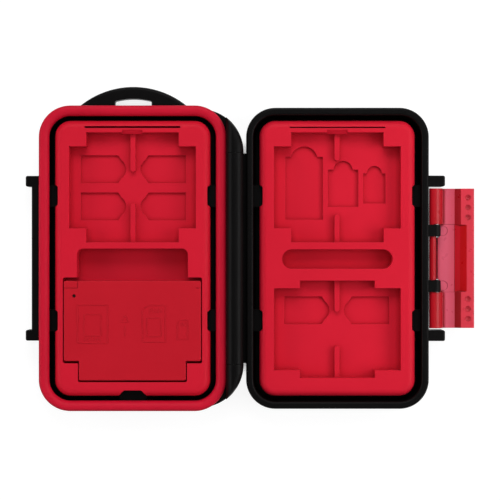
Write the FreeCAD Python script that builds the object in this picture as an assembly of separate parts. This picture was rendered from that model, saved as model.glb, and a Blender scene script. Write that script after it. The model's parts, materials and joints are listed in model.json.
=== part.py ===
"""A hinged memory card case, lying open: two shells with pocketed trays, a rim seal, a snap latch, and a
card reader that lifts out of the base tray. Millimetres; origin at the middle of the base's flat outer face,
+X towards the lid, +Y towards the carry handle, +Z up."""

import FreeCAD, Part
import math
import os

Vector = FreeCAD.Vector

# Case shells
CORNER_RADIUS = 12.0
SHELL_WALL = 3.0
SHELL_FLOOR = 2.2
BOTTOM_ROUND = 4.0
CAVITY_ROUND = 1.5
RIM_ROUND = 0.9
PARTING_GAP = 0.1
PANEL_INSET = 9.0
PANEL_GROOVE_WIDTH = 1.2
PANEL_GROOVE_DEPTH = 0.5

# Rim seal on the base
SEAL_HEIGHT = 3.2
SEAL_OVERHANG = 1.0
SEAL_LIP = 0.2
SEAL_ROUND = 1.5
SEAL_INNER_ROUND = 2.3
SEAL_FIT = 0.05
SEAL_CLEARANCE = 0.35
TONGUE_WIDTH = 1.4
TONGUE_HEIGHT = 2.0

# Lid hinge
HINGE_OFFSET = 4.6
BARREL_RADIUS = 3.6
BARREL_LENGTH = 86.4
KNUCKLE_GAP = 0.15
FAIRING_RADIUS = 18.2
FAIRING_ROUND = 3.0
GUSSET_LOW = 4.6
HINGE_PIN_RADIUS = 1.25
HINGE_PIN_GRIP = 8.5
RUNNING_GAP = 0.05
PRESS_GAP = 0.01

# Carry handle
HANDLE_REACH = 9.2
HANDLE_ARC = 35.0
HANDLE_BAR = 5.0
HANDLE_LOW = 3.6
HANDLE_THICK = 5.0
HANDLE_ROUND = 1.2
HANDLE_SLOT_WIDTH = 15.2
HANDLE_SLOT_CORNER = 0.8

# Latch on the lid, catch on the base
LATCH_LENGTH = 57.5
LATCH_REACH = 17.4
LATCH_PIVOT_OUT = 1.75
LATCH_PIVOT_DROP = 2.6
LATCH_ROOT_REACH = 4.45
LATCH_CROWN_RADIUS = 3.7
LATCH_CROWN_TOP = 1.6
LATCH_PLATE = 2.1
LATCH_GAP = 0.25
LATCH_HOOK_START = 9.4
LATCH_HOOK_END = 11.8
LATCH_HOOK_RISE = 1.2
LATCH_TIP_ROUND = 0.7
LATCH_HEEL = 1.2
LATCH_HEEL_TURN = 230.0
ROD_RADIUS = 1.45
ROD_SLIT = 0.9
ROD_WEB = 0.8
ROD_WEB_START = 0.6
CLIP_PASS = 2.85
SCOOP_HALF = 13.8
SCOOP_START = 11.6
SCOOP_END = 14.2
SCOOP_RISE = 0.35
DIMPLE_RADIUS = 1.25
DIMPLE_DEPTH = 0.7
DIMPLE_OUT = 14.75
DIMPLE_FIRST = 16.8
DIMPLE_PITCH = 4.1
DIMPLES_PER_END = 3
MARK_RADIUS = 2.1
MARK_DEPTH = 0.15
PLATE_STEP = 0.15
CLIP_CENTRE = 11.35
CLIP_WIDTH = 4.9
CLIP_REACH = 5.1
CLIP_CORNER = 1.0
CLIP_RADIUS = 2.25
CLIP_MOUTH = 2.3
CATCH_REACH = 4.25
CATCH_ROUND = 0.8
LUG_GAP = 0.8
LUG_WIDTH = 4.4
LUG_REACH = 6.75
LUG_LOW = 3.4
LUG_ROUND = 0.9
LUG_DROP = 0.7

# Trays, and the margins round what they hold; the case's outside follows from these
TRAY_END_MARGIN = 2.35
READER_MARGIN = 3.4
READER_END_MARGIN = 5.75
TRAY_FOOT = 0.8
TRAY_SIDE_GAP = 2.5
TRAY_END_GAP = 2.15
TRAY_CORNER = 6.5
TRAY_DROP = 1.0
TRAY_ROUND = 3.0
TRAY_SKIRT = 2.6
TRAY_PLATE = 1.6
POCKET_WALL = 1.4
POCKET_BASE = 1.2
TAB_LENGTH = 9.0
TAB_BEVEL = 1.0
TAB_REACH = 1.15
TAB_THICK = 1.3
TAB_GAP = 0.15
TAB_SPREAD = 25.7
TAB_DROP = 2.0
END_TAB_REACH = 2.25
END_TAB_LENGTH = 11.2
END_TAB_BEVEL = 2.2

# Cards and the room round them
SD_WIDTH = 24.0
SD_LENGTH = 32.0
SD_THICK = 2.1
SD_SIDE_GAP = 0.5
SD_END_GAP = 0.85
CF_WIDTH = 36.4
CF_LENGTH = 42.8
CF_THICK = 3.3
CF_SIDE_GAP = 0.8
CF_END_GAP = 1.2
SLIM_WIDTH = 29.6
SLIM_LENGTH = 38.5
SLIM_SIDE_GAP = 0.55
SLIM_END_GAP = 0.75
MICRO_WIDTH = 11.0
MICRO_LENGTH = 15.0
SMALL_CARD_GAP = 0.25
CARD_LIFT = 0.2
RECESS_DEPTH = 1.2
RIB_WIDTH = 2.1

# Recess outlines for the small cards
MICRO_FAR = 21.7
MICRO_PITCH = 15.4
MICRO_NECK = 1.3
MICRO_NECK_HALF = 3.7
MICRO_TIP = 3.0
LID_MICRO_RISE = 7.6
SIM_SIZES = ((15.0, 25.5), (12.0, 14.9), (8.7, 11.9))
SIM_PLACES = ((-13.5, -0.2), (2.65, -0.2), (15.55, -0.3))
SIM_ARCHES = ((5.4, 4.3), (3.9, 3.7), (3.2, 3.15))

# Springy detent beam beside each full-size pocket
BEAM_WIDTH = 1.75
SLIT_WIDTH = 0.8
LID_SLIT_WIDTH = 0.5
SLIT_OVERRUN = 0.6
DETENT_HALF = 4.1
DETENT_SLOPE = 1.1
DETENT_BUMP = 0.6

# Pocket ribs, as lengths from the pocket's end
BASE_RIB = 15.0
LID_RIB = 10.4
LID_LOWER_RIB = 11.9

# Finger recess beside the reader, finger slot in the lid, and the lid's lower pocket
FINGER_RIB = 2.55
FINGER_LENGTH = 13.25
FINGER_SIDE_GAP = 1.25
FINGER_CORNER = 2.6
LID_SLOT_HALF = 22.7
LID_SLOT_SPACE = 2.85
LID_SLOT_WIDTH = 8.0
LID_SLOT_DEPTH = 7.0
LID_LOWER_SHIFT = 1.325

# Card reader
READER_FRONT = 6.85
READER_NOSE = 7.95
READER_NOSE_SPARE = 0.6
READER_PROUD = 0.2
READER_SEAT_GAP = 0.2
READER_SIDE_GAP = 0.4
READER_END_GAP = 1.4
READER_SHOULDER_GAP = 0.9
READER_NOSE_GAP = 0.7
READER_CORNER = 0.8
READER_INNER_CORNER = 0.4
READER_EDGE_ROUND = 0.4
COVER_WALL = 1.2
COVER_SKIN = 1.0
SEAM_MARK_WIDTH = 0.25
SEAM_MARK_DEPTH = 0.3
SEAM_MARK_SIZE = (5.6, 3.1)
SEAM_MARK_SHORT = 2.1
BOARD_THICK = 0.8
BOARD_GAP = 0.3
SHELL_STEEL = 0.25
CARD_SLOT_GAP = 0.15
CF_SLOT_HEIGHT = 3.9
CF_RAIL = 1.2
CF_HEADER = 8.0
CF_PIN = 0.4
CF_PIN_LENGTH = 4.4
CF_PIN_PITCH = 1.27
CF_PINS_PER_ROW = 25
SD_SOCKET_LENGTH = 27.0
SD_SOCKET_HEIGHT = 2.8
SD_CONTACT_COUNT = 9
SD_CONTACT_EDGE = 2.0
MICRO_SOCKET_LENGTH = 14.0
MICRO_SOCKET_HEIGHT = 1.6
MICRO_CONTACT_COUNT = 8
MICRO_CONTACT_EDGE = 1.65
CONTACT_SIZE = (4.0, 0.7, 0.4)
USB_WIDTH = 9.0
USB_HEIGHT = 3.0
USB_DEPTH = 7.2
USB_STEEL = 0.3
USB_GAP = 0.1
USB_ROUND = 1.0
USB_TONGUE = (6.6, 5.0, 0.7)
USB_FOOT = 1.7
CHIP_SIZE = (7.0, 7.0, 0.9)
CHIP_PLACE = (6.7, 6.75)
CRYSTAL_SIZE = (3.2, 2.5, 0.8)
CRYSTAL_ROUND = 0.4
CRYSTAL_PLACE = (7.2, 13.8)
CAPACITOR_SIZE = (1.6, 0.8, 0.8)
CAPACITOR_PLACE = (4.1, 4.6)
CAPACITOR_PITCH = 2.4
CAPACITOR_COUNT = 5
LED_SIZE = (1.6, 0.8, 0.6)
LED_INSET = 4.25
LED_SPACE = 0.25
LIGHT_PIPE_RADIUS = 0.6
LIGHT_PIPE_GAP = 0.08
LIGHT_PIPE_SUNK = 0.7
SCREW_INSET = 3.2
SCREW_LOWER_INSET = 3.7
SCREW_SPACE = 0.55
SCREW_BOSS_RADIUS = 1.7
SCREW_RADIUS = 0.8
SCREW_HEAD_RADIUS = 1.35
SCREW_HEAD_HEIGHT = 0.9
SCREW_CROSS_WIDTH = 0.5
SCREW_CROSS_DEPTH = 0.45
SCREW_GAP = 0.05
SCREW_BITE = 2.2

# Worked-out sizes of the pockets, the reader and the case round them
PAIR_HALF_X = SD_WIDTH + 2 * SD_SIDE_GAP + RIB_WIDTH / 2
PAIR_HALF_Y = SD_LENGTH / 2 + SD_END_GAP
CF_HALF_X = CF_WIDTH / 2 + CF_SIDE_GAP
CF_HALF_Y = CF_LENGTH / 2 + CF_END_GAP
SLIM_HALF_X = SLIM_WIDTH / 2 + SLIM_SIDE_GAP
SLIM_HALF_Y = SLIM_LENGTH / 2 + SLIM_END_GAP
RIB_HEIGHT = SD_THICK + CARD_LIFT
POCKET_DEPTH = RIB_HEIGHT + CF_THICK + CARD_LIFT
CF_MOUTH_HALF = CF_LENGTH / 2 + CARD_SLOT_GAP
FINGER_HALF = CF_MOUTH_HALF + FINGER_SIDE_GAP
NOSE_HALF = CF_LENGTH / 2 + READER_NOSE_SPARE
SCREW_X = CF_MOUTH_HALF + CF_RAIL + SCREW_SPACE + SCREW_BOSS_RADIUS
READER_HALF = SCREW_X + SCREW_INSET
SD_SOCKET_HALF = SD_WIDTH / 2 + CARD_SLOT_GAP + SHELL_STEEL
MICRO_SOCKET_HALF = MICRO_WIDTH / 2 + CARD_SLOT_GAP + SHELL_STEEL
READER_BODY = COVER_WALL + CARD_SLOT_GAP + 2 * SD_SOCKET_HALF + READER_FRONT
READER_HEIGHT = COVER_SKIN + CF_SLOT_HEIGHT + BOARD_THICK + USB_HEIGHT + USB_GAP + COVER_SKIN
BEAM_SPACE = TRAY_END_MARGIN + SLIT_WIDTH + BEAM_WIDTH
READER_SPACE = READER_BODY + READER_NOSE + READER_NOSE_GAP + READER_END_MARGIN
TRAY_HALF_X = READER_HALF + READER_SIDE_GAP + READER_MARGIN
TRAY_HALF_Y = (BEAM_SPACE + 2 * CF_HALF_Y + FINGER_RIB + FINGER_LENGTH + READER_SPACE) / 2
HALF_X = TRAY_HALF_X + TRAY_SIDE_GAP + SHELL_WALL
HALF_Y = TRAY_HALF_Y + TRAY_END_GAP + SHELL_WALL
READER_FLOOR = SHELL_FLOOR + TRAY_FOOT + POCKET_BASE
READER_BOTTOM = READER_FLOOR + READER_SEAT_GAP
READER_TOP = READER_BOTTOM + READER_HEIGHT
TRAY_TOP = READER_TOP - READER_PROUD
HALF_DEPTH = TRAY_TOP + TRAY_DROP

# Worked-out places
RIM_Z = HALF_DEPTH - PARTING_GAP / 2
SEAL_SEAT = RIM_Z - SEAL_HEIGHT
SHELF_TOP = SEAL_SEAT - SEAL_CLEARANCE
HINGE_X = HALF_X + HINGE_OFFSET
LID_X = 2 * HINGE_X
KNUCKLE_START = BARREL_LENGTH / 2 + KNUCKLE_GAP
PIN_END = KNUCKLE_START + HINGE_PIN_GRIP
PIVOT_X = HALF_X + LATCH_PIVOT_OUT
PIVOT_Z = HALF_DEPTH - LATCH_PIVOT_DROP
CROWN_U = LATCH_ROOT_REACH - LATCH_CROWN_RADIUS
CROWN_V = LATCH_CROWN_TOP - LATCH_CROWN_RADIUS
CROWN_OFFSET = math.hypot(CROWN_U, CROWN_V)
LATCH_ROOT_RADIUS = LATCH_CROWN_RADIUS - CROWN_OFFSET
PLATE_FACE = -(CATCH_REACH - LATCH_PIVOT_OUT + LATCH_GAP)
PLATE_BACK = PLATE_FACE - LATCH_PLATE
PAD_FACE = PLATE_FACE + LATCH_HOOK_RISE
CATCH_LOW = HALF_DEPTH + LATCH_PIVOT_DROP - LATCH_HOOK_START + LATCH_GAP
LUG_START = LATCH_LENGTH / 2 + LUG_GAP
TAB_TOP = SHELF_TOP - TAB_DROP
POCKET_FLOOR = TRAY_TOP - POCKET_DEPTH
POCKET_CENTRE = TRAY_HALF_Y - BEAM_SPACE - CF_HALF_Y
POCKET_END = POCKET_CENTRE - CF_HALF_Y
LID_SLOT_TOP = POCKET_END - LID_SLOT_SPACE
LID_SLOT_END = LID_SLOT_TOP - LID_SLOT_WIDTH
LID_LOWER_CENTRE = (LID_SLOT_END - TRAY_HALF_Y) / 2 + LID_LOWER_SHIFT
MICRO_HALF = MICRO_WIDTH / 2 + SMALL_CARD_GAP
MICRO_SHOULDER = MICRO_FAR - MICRO_LENGTH - 2 * SMALL_CARD_GAP
FINGER_TOP = POCKET_END - FINGER_RIB
READER_TOP_EDGE = FINGER_TOP - FINGER_LENGTH
READER_SHOULDER = READER_TOP_EDGE - READER_BODY
READER_END = READER_SHOULDER - READER_NOSE
CEILING = READER_TOP - COVER_SKIN
BOARD_LOW = READER_BOTTOM + COVER_SKIN + CF_SLOT_HEIGHT
BOARD_TOP = BOARD_LOW + BOARD_THICK
BOARD_GROW = -(COVER_WALL + BOARD_GAP)
INNER_LEFT = -READER_HALF + COVER_WALL
INNER_LOW = READER_SHOULDER + COVER_WALL
SD_SOCKET_X = INNER_LEFT + BOARD_GAP
SD_SOCKET_END = SD_SOCKET_X + SD_SOCKET_LENGTH
SD_SOCKET_Y = INNER_LOW + CARD_SLOT_GAP + SD_SOCKET_HALF
LED_X = -READER_HALF + LED_INSET
LED_Y = SD_SOCKET_Y + SD_SOCKET_HALF + LED_SPACE + LED_SIZE[1] / 2
SCREW_Y = READER_TOP_EDGE - SCREW_INSET
SCREW_LOW_Y = READER_SHOULDER + SCREW_LOWER_INSET
SCREW_PLACES = ((-SCREW_X, SCREW_Y), (SCREW_X, SCREW_Y), (SCREW_X, SCREW_LOW_Y))
MICRO_SOCKET_Y = SCREW_Y - SCREW_BOSS_RADIUS - BOARD_GAP - MICRO_SOCKET_HALF
SIDES = (-1, 1)
THROUGH = 1.0
TINY = 1e-6


def block(x0, x1, y0, y1, z0, z1):
    """A box between two corners, given in any order along each axis."""
    low = Vector(min(x0, x1), min(y0, y1), min(z0, z1))
    return Part.makeBox(abs(x1 - x0), abs(y1 - y0), abs(z1 - z0), low)


def upright_edges(solid):
    return [edge for edge in solid.Edges if edge.BoundBox.XLength < TINY and edge.BoundBox.YLength < TINY]


def edges_at_height(solid, z):
    return [
        edge for edge in solid.Edges
        if abs(edge.BoundBox.ZMin - z) < TINY and abs(edge.BoundBox.ZMax - z) < TINY]


def rounded_block(x0, x1, y0, y1, z0, z1, radius):
    """A box with its upright edges rounded."""
    solid = block(x0, x1, y0, y1, z0, z1)
    return solid.makeFillet(radius, upright_edges(solid))


def centred_block(half_x, half_y, radius, z0, z1):
    return rounded_block(-half_x, half_x, -half_y, half_y, z0, z1, radius)


def rod_along_y(radius, y0, y1, x, z):
    return Part.makeCylinder(radius, y1 - y0, Vector(x, y0, z), Vector(0, 1, 0))


def post(radius, z0, z1, x, y):
    return Part.makeCylinder(radius, z1 - z0, Vector(x, y, z0))


def prism_along_x(points, x0, x1):
    """A closed outline of y, z points, extruded from x0 to x1."""
    wire = Part.makePolygon([Vector(x0, y, z) for y, z in points + points[:1]])
    return Part.Face(wire).extrude(Vector(x1 - x0, 0, 0))


def prism_along_y(points, y0, y1):
    """A closed outline of x, z points, extruded from y0 to y1."""
    wire = Part.makePolygon([Vector(x, y0, z) for x, z in points + points[:1]])
    return Part.Face(wire).extrude(Vector(0, y1 - y0, 0))


def prism_along_z(points, z0, z1):
    """A closed outline of x, y points, extruded from z0 to z1."""
    wire = Part.makePolygon([Vector(x, y, z0) for x, y in points + points[:1]])
    return Part.Face(wire).extrude(Vector(0, 0, z1 - z0))


def joined(pieces):
    """One solid from touching solids, without leftover seams."""
    return pieces[0].fuse(pieces[1:]).removeSplitter().Solids[0]


def mirrored_x(shape):
    return shape.mirror(Vector(0, 0, 0), Vector(1, 0, 0))


def mirrored_y(shape):
    return shape.mirror(Vector(0, 0, 0), Vector(0, 1, 0))


def shell_block(rim):
    """The solid outside of one half, up to its rim, with the rounded outer edge of its flat face."""
    solid = centred_block(HALF_X, HALF_Y, CORNER_RADIUS, 0, rim)
    return solid.makeFillet(BOTTOM_ROUND, edges_at_height(solid, 0))


def shell_cavity():
    solid = centred_block(
        HALF_X - SHELL_WALL, HALF_Y - SHELL_WALL, CORNER_RADIUS - SHELL_WALL,
        SHELL_FLOOR, HALF_DEPTH + THROUGH)
    return solid.makeFillet(CAVITY_ROUND, edges_at_height(solid, SHELL_FLOOR))


def panel_groove():
    """A shallow groove that frames the flat outer face."""
    radius = CORNER_RADIUS - BOTTOM_ROUND
    outer = centred_block(HALF_X - PANEL_INSET, HALF_Y - PANEL_INSET, radius, -THROUGH, PANEL_GROOVE_DEPTH)
    inset = PANEL_INSET + PANEL_GROOVE_WIDTH
    inner = centred_block(
        HALF_X - inset, HALF_Y - inset, radius - PANEL_GROOVE_WIDTH,
        -2 * THROUGH, PANEL_GROOVE_DEPTH + THROUGH)
    return outer.cut(inner)


def rim_ring(outer_inset, inner_inset, z0, z1):
    """A ring that follows the rim, between two distances in from the outer wall."""
    outer = centred_block(HALF_X - outer_inset, HALF_Y - outer_inset, CORNER_RADIUS - outer_inset, z0, z1)
    inner = centred_block(
        HALF_X - inner_inset, HALF_Y - inner_inset, CORNER_RADIUS - inner_inset, z0 - THROUGH, z1 + THROUGH)
    return outer.cut(inner)


def hinge_profile(shelf_top, inner_x):
    """Section of a hinge knuckle on the base side: barrel, shelf to the wall and sloping gusset below."""
    reach = HALF_X - HINGE_X
    drop = GUSSET_LOW - HALF_DEPTH
    turn = math.atan2(drop, reach) + math.acos(BARREL_RADIUS / math.hypot(reach, drop))
    tangent = (HINGE_X + BARREL_RADIUS * math.cos(turn), HALF_DEPTH + BARREL_RADIUS * math.sin(turn))
    return [
        (inner_x, GUSSET_LOW), (HALF_X, GUSSET_LOW), tangent, (HINGE_X, HALF_DEPTH), (HINGE_X, shelf_top),
        (inner_x, shelf_top)]


def hinge_knuckle(shelf_top, inner_x, y0, y1):
    barrel = rod_along_y(BARREL_RADIUS, y0, y1, HINGE_X, HALF_DEPTH)
    return joined([barrel, prism_along_y(hinge_profile(shelf_top, inner_x), y0, y1)])


def hinge_fairing():
    """The base's end knuckle, cut in plan by a round-edged arc that runs out into the case's corner."""
    arc_x = HINGE_X + BARREL_RADIUS - FAIRING_RADIUS
    top = HALF_DEPTH + BARREL_RADIUS
    knuckle = hinge_knuckle(SHELF_TOP, arc_x, KNUCKLE_START, HALF_Y)
    disc = post(FAIRING_RADIUS, 0, top, arc_x, KNUCKLE_START)
    disc = disc.makeFillet(FAIRING_ROUND, edges_at_height(disc, top))
    return knuckle.common(disc)


def hinge_bore(radius, y0, y1):
    return rod_along_y(radius, y0, y1, HINGE_X, HALF_DEPTH)


def hinge_pin():
    return hinge_bore(HINGE_PIN_RADIUS, -PIN_END, PIN_END)


def carry_handle():
    """An arched bar on the end wall, with a slot between it and the wall."""
    centre_y = HALF_Y + HANDLE_REACH - HANDLE_ARC
    top = HANDLE_LOW + HANDLE_THICK
    disc = post(HANDLE_ARC, HANDLE_LOW, top, 0, centre_y)
    disc = disc.makeFillet(HANDLE_ROUND, edges_at_height(disc, HANDLE_LOW) + edges_at_height(disc, top))
    keep = block(-HANDLE_ARC, HANDLE_ARC, HALF_Y - SHELL_WALL, HALF_Y + HANDLE_REACH, 0, HALF_DEPTH)
    half_slot = HANDLE_SLOT_WIDTH / 2
    slot_top = post(HANDLE_ARC - HANDLE_BAR, 0, HALF_DEPTH, 0, centre_y)
    slot = block(-half_slot, half_slot, HALF_Y, HALF_Y + HANDLE_REACH, 0, HALF_DEPTH).common(slot_top)
    outer_edges = [edge for edge in upright_edges(slot) if edge.BoundBox.YMin > HALF_Y + TINY]
    slot = slot.makeFillet(HANDLE_SLOT_CORNER, outer_edges)
    return disc.common(keep).cut(slot)


def guard_lug(top):
    """A lug beside the latch's end, on the +X wall."""
    solid = block(
        HALF_X - SHELL_WALL / 2, HALF_X + LUG_REACH, LUG_START, LUG_START + LUG_WIDTH, LUG_LOW, top)
    outer = [edge for edge in solid.Edges if edge.BoundBox.XMin > HALF_X]
    return solid.makeFillet(LUG_ROUND, outer)


def guard_lugs(top):
    lug = guard_lug(top)
    return [lug, mirrored_y(lug)]


def catch_bar():
    """The bar under the base's rim that the latch hooks behind, on the -X wall."""
    solid = block(
        -HALF_X + SHELL_WALL / 2, -HALF_X - CATCH_REACH, -LUG_START - THROUGH, LUG_START + THROUGH,
        CATCH_LOW, SHELF_TOP)
    outer = [edge for edge in solid.Edges if edge.BoundBox.XMax < -HALF_X and edge.BoundBox.YLength > TINY]
    return solid.makeFillet(CATCH_ROUND, outer)


def tab_outline(grow):
    """Plan of a snap tab on the +X wall: straight across the gap, bevelled where it lies over the tray."""
    wall = HALF_X - SHELL_WALL / 2
    edge = TRAY_HALF_X
    tip = TRAY_HALF_X - TAB_REACH - grow
    half = TAB_LENGTH / 2 + grow
    return [
        (wall, TAB_SPREAD - half), (wall, TAB_SPREAD + half), (edge, TAB_SPREAD + half),
        (tip, TAB_SPREAD + half - TAB_BEVEL), (tip, TAB_SPREAD - half + TAB_BEVEL), (edge, TAB_SPREAD - half)]


def end_tab_outline(grow):
    """Plan of the snap tab on the wall across from the handle."""
    wall = -HALF_Y + SHELL_WALL / 2
    edge = -TRAY_HALF_Y
    tip = -TRAY_HALF_Y + END_TAB_REACH + grow
    half = END_TAB_LENGTH / 2 + grow
    return [
        (-half, wall), (half, wall), (half, edge), (half - END_TAB_BEVEL, tip), (END_TAB_BEVEL - half, tip),
        (-half, edge)]


def four_ways(shape):
    across = [shape, mirrored_x(shape)]
    return across + [mirrored_y(one) for one in across]


def snap_tabs():
    return four_ways(prism_along_z(tab_outline(0), TAB_TOP - TAB_THICK, TAB_TOP))


def tab_notches():
    return four_ways(prism_along_z(tab_outline(TAB_GAP), TAB_TOP - TAB_THICK - TAB_GAP, TRAY_TOP + THROUGH))


def end_tab():
    return prism_along_z(end_tab_outline(0), TAB_TOP - TAB_THICK, TAB_TOP)


def end_notch():
    return prism_along_z(end_tab_outline(TAB_GAP), TAB_TOP - TAB_THICK - TAB_GAP, TRAY_TOP + THROUGH)


def base_shell():
    fairing = hinge_fairing()
    lugs = [mirrored_x(lug) for lug in guard_lugs(SHELF_TOP)]
    tongue_inset = (SHELL_WALL - TONGUE_WIDTH) / 2
    tongue = rim_ring(
        tongue_inset, tongue_inset + TONGUE_WIDTH, SEAL_SEAT - THROUGH, SEAL_SEAT + TONGUE_HEIGHT)
    outside = joined(
        [shell_block(SEAL_SEAT), fairing, mirrored_y(fairing), carry_handle(), catch_bar(), tongue] + lugs)
    bore = hinge_bore(HINGE_PIN_RADIUS + PRESS_GAP, -HALF_Y, PIN_END)
    tub = outside.cut([shell_cavity(), panel_groove(), bore])
    return joined([tub, end_tab()] + snap_tabs())


def beyond_wall(edge):
    """Whether an edge of the seal lies outside the wall that carries it."""
    box = edge.BoundBox
    return max(-box.XMin, box.XMax) > HALF_X or max(-box.YMin, box.YMax) > HALF_Y


def base_seal():
    """A rubber ring with a groove that fits over the base's rim tongue."""
    ring = rim_ring(-SEAL_OVERHANG, SHELL_WALL + SEAL_LIP, SEAL_SEAT, RIM_Z)
    inner_edges = [edge for edge in edges_at_height(ring, RIM_Z) if not beyond_wall(edge)]
    ring = ring.makeFillet(SEAL_INNER_ROUND, inner_edges)
    outer_edges = [edge for edge in edges_at_height(ring, RIM_Z) if beyond_wall(edge)]
    ring = ring.makeFillet(SEAL_ROUND, outer_edges)
    tongue_inset = (SHELL_WALL - TONGUE_WIDTH) / 2
    groove = rim_ring(
        tongue_inset - SEAL_FIT, tongue_inset + TONGUE_WIDTH + SEAL_FIT, SEAL_SEAT - THROUGH,
        SEAL_SEAT + TONGUE_HEIGHT + SEAL_FIT)
    return ring.cut(groove)


def latch_clip():
    """A C-shaped hook on the lid's +X wall that the latch's rod snaps into."""
    wall = HALF_X - SHELL_WALL / 2
    y0 = CLIP_CENTRE - CLIP_WIDTH / 2
    y1 = CLIP_CENTRE + CLIP_WIDTH / 2
    end_x = HALF_X + CLIP_REACH - CLIP_RADIUS
    low = PIVOT_Z - CLIP_RADIUS
    high = PIVOT_Z + CLIP_RADIUS
    nose = rod_along_y(CLIP_RADIUS, y0, y1, end_x, PIVOT_Z)
    body = joined([block(wall, end_x, y0, y1, low, high), nose])
    plan = rounded_block(wall - CLIP_CORNER, HALF_X + CLIP_REACH, y0, y1, low, high, CLIP_CORNER)
    bore = rod_along_y(ROD_RADIUS + RUNNING_GAP, y0, y1, PIVOT_X, PIVOT_Z)
    half_mouth = CLIP_MOUTH / 2
    mouth = block(PIVOT_X - half_mouth, PIVOT_X + half_mouth, y0, y1, low - THROUGH, PIVOT_Z)
    return body.common(plan).cut([bore, mouth])


def lid_shell():
    clip = latch_clip()
    half_barrel = BARREL_LENGTH / 2
    barrel = mirrored_x(hinge_knuckle(SHELF_TOP, HALF_X - SHELL_WALL / 2, -half_barrel, half_barrel))
    tub = shell_block(RIM_Z).cut([shell_cavity(), panel_groove()])
    tub = tub.makeFillet(RIM_ROUND, edges_at_height(tub, RIM_Z))
    shell = joined([tub, barrel, clip, mirrored_y(clip)] + guard_lugs(HALF_DEPTH - LUG_DROP) + snap_tabs())
    bore = mirrored_x(hinge_bore(HINGE_PIN_RADIUS + RUNNING_GAP, -HALF_Y, HALF_Y))
    shell = shell.cut(bore)
    shell.translate(Vector(LID_X, 0, 0))
    return shell


def latch_section():
    """Outline of the latch across its length: u away from the pivot, v up from it. A large round crown
    touches the small round root from outside."""
    root = LATCH_ROOT_RADIUS
    back = math.radians(LATCH_HEEL_TURN)
    heel = (LATCH_HEEL, PLATE_BACK)
    heel_top = (root * math.cos(back), root * math.sin(back))
    tip_in = LATCH_REACH - LATCH_TIP_ROUND
    tip_high = PAD_FACE - LATCH_TIP_ROUND
    tip_low = PLATE_BACK + LATCH_TIP_ROUND
    bend = LATCH_TIP_ROUND * (1 - math.sqrt(0.5))
    tip_mid = LATCH_REACH - bend
    touch = (-CROWN_U * root / CROWN_OFFSET, -CROWN_V * root / CROWN_OFFSET)
    nose = (LATCH_ROOT_REACH, CROWN_V)
    steps = [
        (touch, (CROWN_U, LATCH_CROWN_TOP), nose), (nose, (LATCH_ROOT_REACH, PLATE_FACE)),
        ((LATCH_ROOT_REACH, PLATE_FACE), (LATCH_HOOK_START, PLATE_FACE)),
        ((LATCH_HOOK_START, PLATE_FACE), (LATCH_HOOK_END, PAD_FACE)),
        ((LATCH_HOOK_END, PAD_FACE), (tip_in, PAD_FACE)),
        ((tip_in, PAD_FACE), (tip_mid, PAD_FACE - bend), (LATCH_REACH, tip_high)),
        ((LATCH_REACH, tip_high), (LATCH_REACH, tip_low)),
        ((LATCH_REACH, tip_low), (tip_mid, PLATE_BACK + bend), (tip_in, PLATE_BACK)),
        ((tip_in, PLATE_BACK), heel), (heel, heel_top), (heel_top, (-root, 0), touch)]
    return steps


def latch_blank():
    """The latch's section extruded over its whole length."""
    edges = []
    for step in latch_section():
        points = [Vector(PIVOT_X + u, -LATCH_LENGTH / 2, PIVOT_Z + v) for u, v in step]
        if len(points) == 2:
            edges.append(Part.LineSegment(*points).toShape())
        else:
            edges.append(Part.Arc(*points).toShape())
    return Part.Face(Part.Wire(edges)).extrude(Vector(0, LATCH_LENGTH, 0))


def latch_cut(u0, u1, half_y0, half_y1, v0):
    """Two blocks, one each side of the middle, that clear the latch above a height from the pivot."""
    z0 = PIVOT_Z + v0
    z1 = HALF_DEPTH + LATCH_REACH
    return [block(PIVOT_X + u0, PIVOT_X + u1, side * half_y0, side * half_y1, z0, z1) for side in SIDES]


def latch_scoop():
    """The hollow behind the middle of the pull edge: a gentle slope, then a steeper one up to the edge."""
    above = PAD_FACE + THROUGH
    points = [
        (LATCH_HOOK_START, above), (LATCH_HOOK_START, PLATE_FACE), (SCOOP_START, PLATE_FACE + SCOOP_RISE),
        (SCOOP_END, PAD_FACE), (SCOOP_END, above)]
    return prism_along_y([(PIVOT_X + u, PIVOT_Z + v) for u, v in points], -SCOOP_HALF, SCOOP_HALF)


def latch_dimples():
    """Round finger dimples in the pad at each end of the pull edge."""
    ball = (DIMPLE_RADIUS ** 2 + DIMPLE_DEPTH ** 2) / (2 * DIMPLE_DEPTH)
    centre_z = PIVOT_Z + PAD_FACE - DIMPLE_DEPTH + ball
    dimples = []
    for side in SIDES:
        for index in range(DIMPLES_PER_END):
            y = side * (DIMPLE_FIRST + index * DIMPLE_PITCH)
            dimples.append(Part.makeSphere(ball, Vector(PIVOT_X + DIMPLE_OUT, y, centre_z)))
    return dimples


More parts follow.
